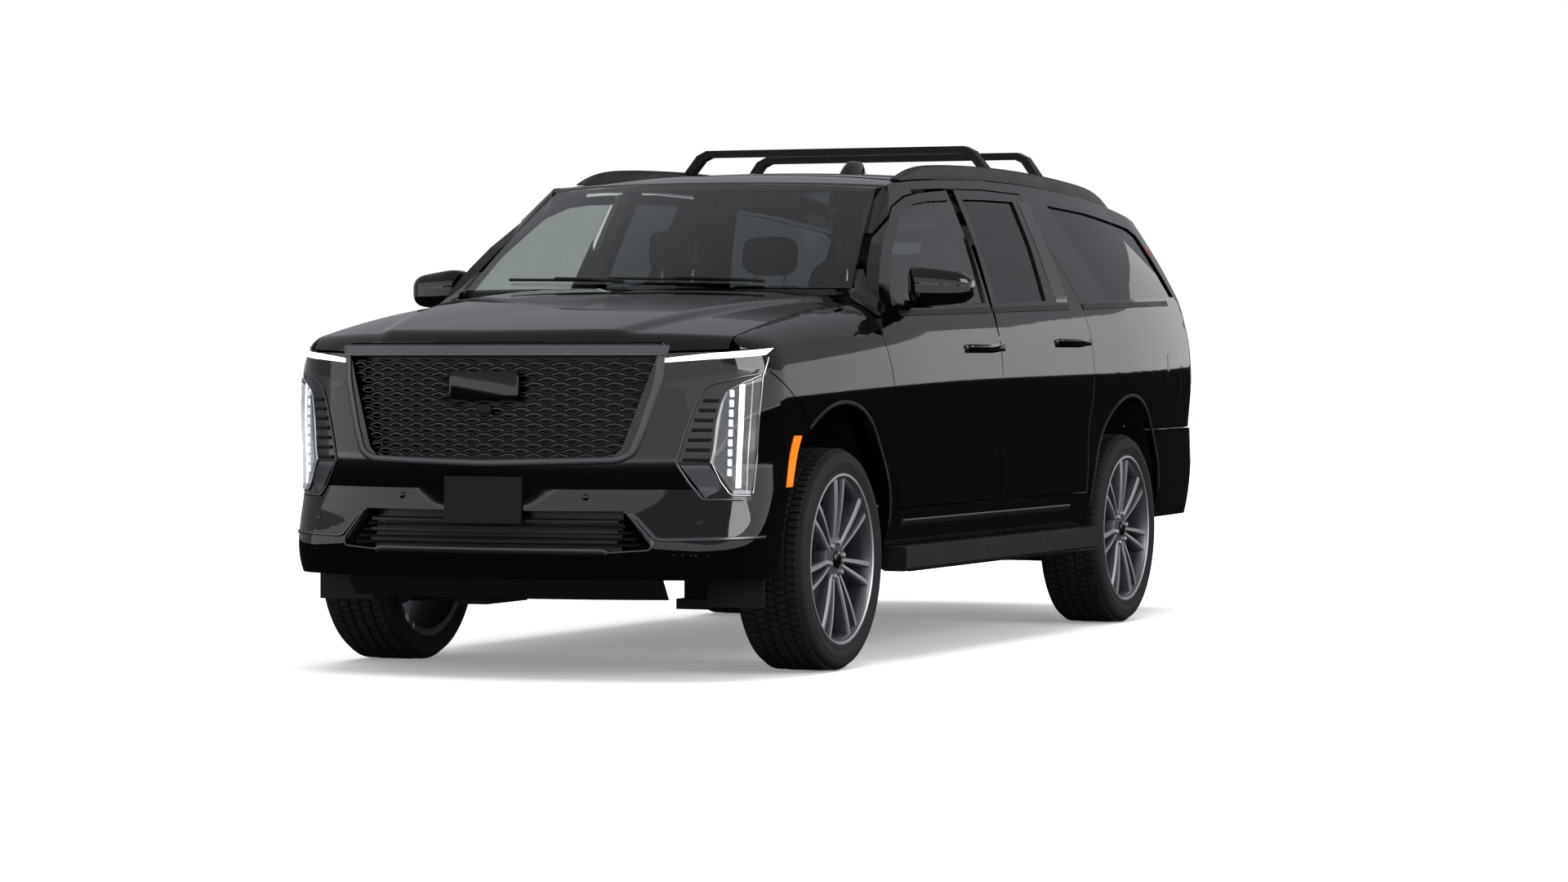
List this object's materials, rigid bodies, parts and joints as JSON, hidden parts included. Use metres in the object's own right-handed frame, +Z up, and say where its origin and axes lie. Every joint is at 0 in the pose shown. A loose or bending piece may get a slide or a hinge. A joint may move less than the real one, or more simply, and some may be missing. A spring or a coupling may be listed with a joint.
{
  "type": "sport utility vehicle",
  "caption": "full-size long-body utility vehicle with hinged side doors, hood and tailgate, steered front wheels, roof rails with crossbars and running boards",
  "frame": {"origin": "under the middle of the whole length, on the ground between the wheels", "axes": "+Z up, the front faces -Y, the left side is +X"},
  "size_m": [2.434, 5.7804, 2.084],
  "materials": {
    "tyre_rubber": "matte carbon-black rubber",
    "wheel_finish": "dark grey paint with machined faces",
    "cabin_glass": "clear tinted safety glass",
    "privacy_glass": "dark privacy glass",
    "lamp_plastic": "clear polycarbonate over a dark body",
    "tail_lamp_plastic": "red polycarbonate",
    "chassis_metal": "black chassis paint",
    "exhaust_steel": "dull steel",
    "seat_leather": "black leather",
    "black_plastic": "grained black plastic",
    "gloss_trim": "gloss black trim",
    "floor_metal": "black underbody coating",
    "rail_aluminium": "black anodised aluminium",
    "body_paint": "black gloss clear-coat paint"
  },
  "bodies": {
    "vehicle": {"fixed_glass": "cabin_glass", "body_side_left": "body_paint", "body_side_right": "body_paint", "fenders": "body_paint", "roof": "body_paint", "front_bumper": "body_paint", "headlamps": "lamp_plastic", "grille": "gloss_trim", "front_trim": "black_plastic", "tail_lamps": "tail_lamp_plastic", "rear_bumper": "body_paint", "roof_rails": "rail_aluminium", "frame": "chassis_metal", "floor": "floor_metal", "front_axle": "chassis_metal", "rear_axle": "chassis_metal", "seats": "seat_leather", "dashboard": "black_plastic", "engine": "chassis_metal", "running_boards": "black_plastic", "exhaust": "exhaust_steel"},
    "front_left_door": {"door_front_left": "body_paint", "glass_front_left": "cabin_glass", "mirror_left": "body_paint"},
    "front_right_door": {"door_front_right": "body_paint", "glass_front_right": "cabin_glass", "mirror_right": "body_paint"},
    "rear_left_door": {"door_rear_left": "body_paint", "glass_rear_left": "privacy_glass"},
    "rear_right_door": {"door_rear_right": "body_paint", "glass_rear_right": "privacy_glass"},
    "hood_lid": {"hood": "body_paint"},
    "tail_lid": {"tailgate": "body_paint", "tailgate_glass": "privacy_glass"},
    "left_knuckle": {"knuckle_left": "chassis_metal"},
    "right_knuckle": {"knuckle_right": "chassis_metal"},
    "front_left_wheel": {"rim_front_left": "wheel_finish", "tyre_front_left": "tyre_rubber"},
    "front_right_wheel": {"rim_front_right": "wheel_finish", "tyre_front_right": "tyre_rubber"},
    "rear_left_wheel": {"rim_rear_left": "wheel_finish", "tyre_rear_left": "tyre_rubber"},
    "rear_right_wheel": {"rim_rear_right": "wheel_finish", "tyre_rear_right": "tyre_rubber"},
    "hand_wheel": {"steering_wheel": "black_plastic"}
  },
  "joints": [
    {"name": "front_left_steer", "type": "hinge", "parent": "vehicle", "child": "left_knuckle", "pos_m": [0.7895, -1.869, 0.4188], "axis": [0, 0, 1], "range_deg": [-35, 35]},
    {"name": "front_right_steer", "type": "hinge", "parent": "vehicle", "child": "right_knuckle", "pos_m": [-0.7895, -1.869, 0.4188], "axis": [0, 0, 1], "range_deg": [-35, 35]},
    {"name": "front_left_spin", "type": "hinge", "parent": "left_knuckle", "child": "front_left_wheel", "pos_m": [0.8675, -1.869, 0.4188], "axis": [1, 0, 0], "continuous": true},
    {"name": "front_right_spin", "type": "hinge", "parent": "right_knuckle", "child": "front_right_wheel", "pos_m": [-0.8675, -1.869, 0.4188], "axis": [1, 0, 0], "continuous": true},
    {"name": "rear_left_spin", "type": "hinge", "parent": "vehicle", "child": "rear_left_wheel", "pos_m": [0.8675, 1.538, 0.4188], "axis": [1, 0, 0], "continuous": true},
    {"name": "rear_right_spin", "type": "hinge", "parent": "vehicle", "child": "rear_right_wheel", "pos_m": [-0.8675, 1.538, 0.4188], "axis": [1, 0, 0], "continuous": true},
    {"name": "hand_wheel_turn", "type": "hinge", "parent": "vehicle", "child": "hand_wheel", "pos_m": [0.42, -0.749, 1.25], "axis": [0, -0.9063, -0.4226], "range_deg": [-525, 525]},
    {"name": "front_left_door_hinge", "type": "hinge", "parent": "vehicle", "child": "front_left_door", "pos_m": [1.031, -1.437, 0.95], "axis": [0, 0, -1], "range_deg": [0, 65]},
    {"name": "front_right_door_hinge", "type": "hinge", "parent": "vehicle", "child": "front_right_door", "pos_m": [-1.031, -1.437, 0.95], "axis": [0, 0, 1], "range_deg": [0, 65]},
    {"name": "rear_left_door_hinge", "type": "hinge", "parent": "vehicle", "child": "rear_left_door", "pos_m": [1.032, -0.167, 0.95], "axis": [0, 0, -1], "range_deg": [0, 65]},
    {"name": "rear_right_door_hinge", "type": "hinge", "parent": "vehicle", "child": "rear_right_door", "pos_m": [-1.032, -0.167, 0.95], "axis": [0, 0, 1], "range_deg": [0, 65]},
    {"name": "hood_hinge", "type": "hinge", "parent": "vehicle", "child": "hood_lid", "pos_m": [0, -1.326, 1.415], "axis": [-1, 0, 0], "range_deg": [0, 45]},
    {"name": "tailgate_hinge", "type": "hinge", "parent": "vehicle", "child": "tail_lid", "pos_m": [0, 2.566, 1.862], "axis": [1, 0, 0], "range_deg": [0, 85]}
  ],
  "couplings": [
    {"joint": "front_right_steer", "follows": "front_left_steer", "ratio": 1},
    {"joint": "hand_wheel_turn", "follows": "front_left_steer", "ratio": 15}
  ]
}
